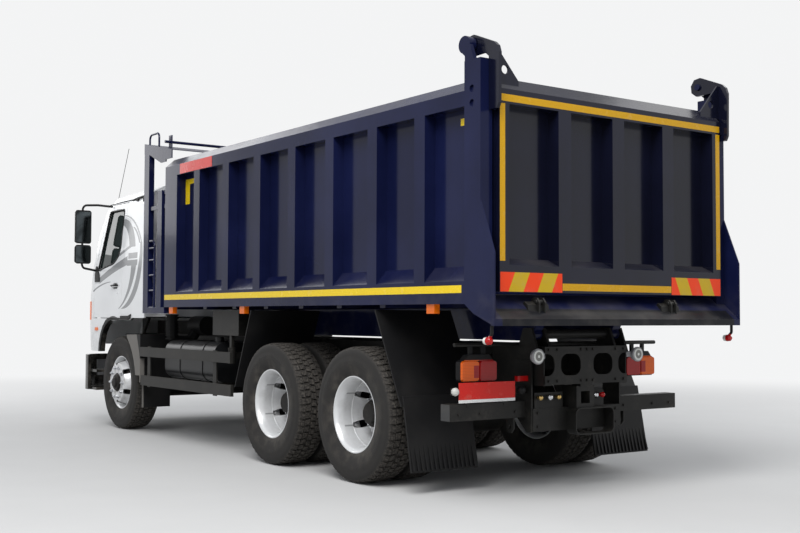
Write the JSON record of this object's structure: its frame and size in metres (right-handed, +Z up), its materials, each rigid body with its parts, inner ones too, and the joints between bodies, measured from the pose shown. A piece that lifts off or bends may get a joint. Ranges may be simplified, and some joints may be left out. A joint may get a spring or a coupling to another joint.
{
  "type": "dump truck",
  "caption": "Forward-control tipping lorry with a tilting cab, a ribbed steel body that tips to the rear on a telescopic hoist, a top-hung tailgate and steered front wheels.",
  "frame": {"origin": "on the ground under the middle of the vehicle's length and width", "axes": "+X to the vehicle's left, +Y to its rear, +Z up; it faces -Y"},
  "size_m": [2.97, 7.8498, 3.201],
  "materials": {
    "body_blue": "semi-gloss navy blue paint, lightly dusted",
    "cab_white": "gloss white paint",
    "chassis_grey": "satin dark grey paint, dusty",
    "rim_silver": "satin silver paint",
    "guard_grey": "satin dark grey, dusty",
    "tank_grey": "satin grey paint",
    "cast": "as cast, painted black",
    "tyre_black": "matt, dusty tread",
    "black_plastic": "grained black",
    "flap_black": "matt black",
    "lamp_red": "clear red and orange lenses in a black case",
    "lamp_clear": "clear lens over a bright reflector",
    "lamp_amber": "amber lens",
    "pane": "tinted",
    "seat_cloth": "woven",
    "hoist_steel": "ground and plated",
    "dash_grey": "grained grey"
  },
  "bodies": {
    "chassis": {"frame": "chassis_grey", "engine": "cast", "driveline": "cast", "front_axle": "cast", "rear_axles": "cast", "leaf_springs": "cast", "fuel_tank": "tank_grey", "oil_tank": "chassis_grey", "battery_box": "black_plastic", "air_tanks": "chassis_grey", "silencer": "tank_grey", "side_guards": "guard_grey", "mudguards": "black_plastic", "underrun_bar": "chassis_grey", "lamps": "lamp_red", "clear_lamps": "lamp_clear", "air_duct": "black_plastic", "bumper": "cab_white"},
    "knuckle_left": {"knuckle_left": "cast"},
    "knuckle_right": {"knuckle_right": "cast"},
    "track_rod": {"tie_rod": "cast"},
    "cab": {"cab_shell": "cab_white", "cab_glass": "pane", "grille": "black_plastic", "seats": "seat_cloth", "dashboard": "dash_grey", "arch_lips": "black_plastic", "cab_lamps": "lamp_amber"},
    "door_left": {"door_left": "cab_white", "door_glass_left": "pane", "mirrors_left": "black_plastic"},
    "door_right": {"door_right": "cab_white", "door_glass_right": "pane", "mirrors_right": "black_plastic"},
    "tipping_body": {"body_floor": "body_blue", "body_sills": "body_blue", "body_side_left": "body_blue", "body_side_right": "body_blue", "body_front": "body_blue", "hoist_bracket": "body_blue", "side_lamps": "lamp_amber", "front_canopy": "body_blue"},
    "tailgate": {"tailgate": "body_blue"},
    "hoist_tube": {"hoist_tube": "chassis_grey"},
    "wheel_front_left": {"tyres_front_left": "tyre_black", "rims_front_left": "rim_silver"},
    "wheel_front_right": {"tyres_front_right": "tyre_black", "rims_front_right": "rim_silver"},
    "wheel_middle_left": {"tyres_middle_left": "tyre_black", "rims_middle_left": "rim_silver"},
    "wheel_middle_right": {"tyres_middle_right": "tyre_black", "rims_middle_right": "rim_silver"},
    "wheel_rear_left": {"tyres_rear_left": "tyre_black", "rims_rear_left": "rim_silver"},
    "wheel_rear_right": {"tyres_rear_right": "tyre_black", "rims_rear_right": "rim_silver"},
    "hoist_stage_1": {"hoist_stage_1": "hoist_steel"},
    "hoist_stage_2": {"hoist_stage_2": "hoist_steel"},
    "hoist_stage_3": {"hoist_stage_3": "hoist_steel"},
    "hoist_stage_4": {"hoist_stage_4": "hoist_steel"}
  },
  "joints": [
    {"name": "steer_left", "type": "hinge", "parent": "chassis", "child": "knuckle_left", "pos_m": [0.85, -2.721, 0.522], "axis": [0, 0, 1], "range_deg": [-35, 35]},
    {"name": "steer_right", "type": "hinge", "parent": "chassis", "child": "knuckle_right", "pos_m": [-0.85, -2.721, 0.522], "axis": [0, 0, 1], "range_deg": [-35, 35]},
    {"name": "track_rod_turn", "type": "hinge", "parent": "knuckle_left", "child": "track_rod", "pos_m": [0.85, -2.541, 0.39], "axis": [0, 0, 1], "range_deg": [-35, 35]},
    {"name": "cab_tilt", "type": "hinge", "parent": "chassis", "child": "cab", "pos_m": [0, -3.75, 0.76], "axis": [1, 0, 0], "range_deg": [0, 45]},
    {"name": "door_left_swing", "type": "hinge", "parent": "cab", "child": "door_left", "pos_m": [1.186, -3.403, 1.6], "axis": [0, 0, -1], "range_deg": [0, 70]},
    {"name": "door_right_swing", "type": "hinge", "parent": "cab", "child": "door_right", "pos_m": [-1.186, -3.403, 1.6], "axis": [0, 0, 1], "range_deg": [0, 70]},
    {"name": "body_tip", "type": "hinge", "parent": "chassis", "child": "tipping_body", "pos_m": [0, 3.375, 1.15], "axis": [-1, 0, 0], "range_deg": [0, 45]},
    {"name": "tailgate_swing", "type": "hinge", "parent": "tipping_body", "child": "tailgate", "pos_m": [0, 3.61, 3.115], "axis": [1, 0, 0], "range_deg": [0, 80]},
    {"name": "hoist_lean", "type": "hinge", "parent": "chassis", "child": "hoist_tube", "pos_m": [0, -1.695, 1], "axis": [-1, 0, 0], "range_deg": [0, 27.03]},
    {"name": "hoist_slide_1", "type": "slide", "parent": "hoist_tube", "child": "hoist_stage_1", "axis": [0, 0, 1], "range_m": [0, 0.9503]},
    {"name": "hoist_slide_2", "type": "slide", "parent": "hoist_stage_1", "child": "hoist_stage_2", "axis": [0, 0, 1], "range_m": [0, 0.9503]},
    {"name": "hoist_slide_3", "type": "slide", "parent": "hoist_stage_2", "child": "hoist_stage_3", "axis": [0, 0, 1], "range_m": [0, 0.9503]},
    {"name": "hoist_slide_4", "type": "slide", "parent": "hoist_stage_3", "child": "hoist_stage_4", "axis": [0, 0, 1], "range_m": [0, 0.9503]},
    {"name": "wheel_front_left_spin", "type": "hinge", "parent": "knuckle_left", "child": "wheel_front_left", "pos_m": [1.004, -2.721, 0.522], "axis": [1, 0, 0], "continuous": true},
    {"name": "wheel_front_right_spin", "type": "hinge", "parent": "knuckle_right", "child": "wheel_front_right", "pos_m": [-1.004, -2.721, 0.522], "axis": [1, 0, 0], "continuous": true},
    {"name": "wheel_middle_left_spin", "type": "hinge", "parent": "chassis", "child": "wheel_middle_left", "pos_m": [0.932, 0.928, 0.522], "axis": [1, 0, 0], "continuous": true},
    {"name": "wheel_middle_right_spin", "type": "hinge", "parent": "chassis", "child": "wheel_middle_right", "pos_m": [-0.932, 0.928, 0.522], "axis": [1, 0, 0], "continuous": true},
    {"name": "wheel_rear_left_spin", "type": "hinge", "parent": "chassis", "child": "wheel_rear_left", "pos_m": [0.932, 2.225, 0.522], "axis": [1, 0, 0], "continuous": true},
    {"name": "wheel_rear_right_spin", "type": "hinge", "parent": "chassis", "child": "wheel_rear_right", "pos_m": [-0.932, 2.225, 0.522], "axis": [1, 0, 0], "continuous": true}
  ],
  "couplings": [
    {"joint": "steer_right", "follows": "steer_left", "ratio": 1},
    {"joint": "track_rod_turn", "follows": "steer_left", "ratio": -1},
    {"joint": "hoist_lean", "follows": "body_tip", "ratio": 0.59957},
    {"joint": "hoist_slide_1", "follows": "body_tip", "m_per_rad": 1.2075},
    {"joint": "hoist_slide_2", "follows": "body_tip", "m_per_rad": 1.2075},
    {"joint": "hoist_slide_3", "follows": "body_tip", "m_per_rad": 1.2075},
    {"joint": "hoist_slide_4", "follows": "body_tip", "m_per_rad": 1.2075}
  ]
}
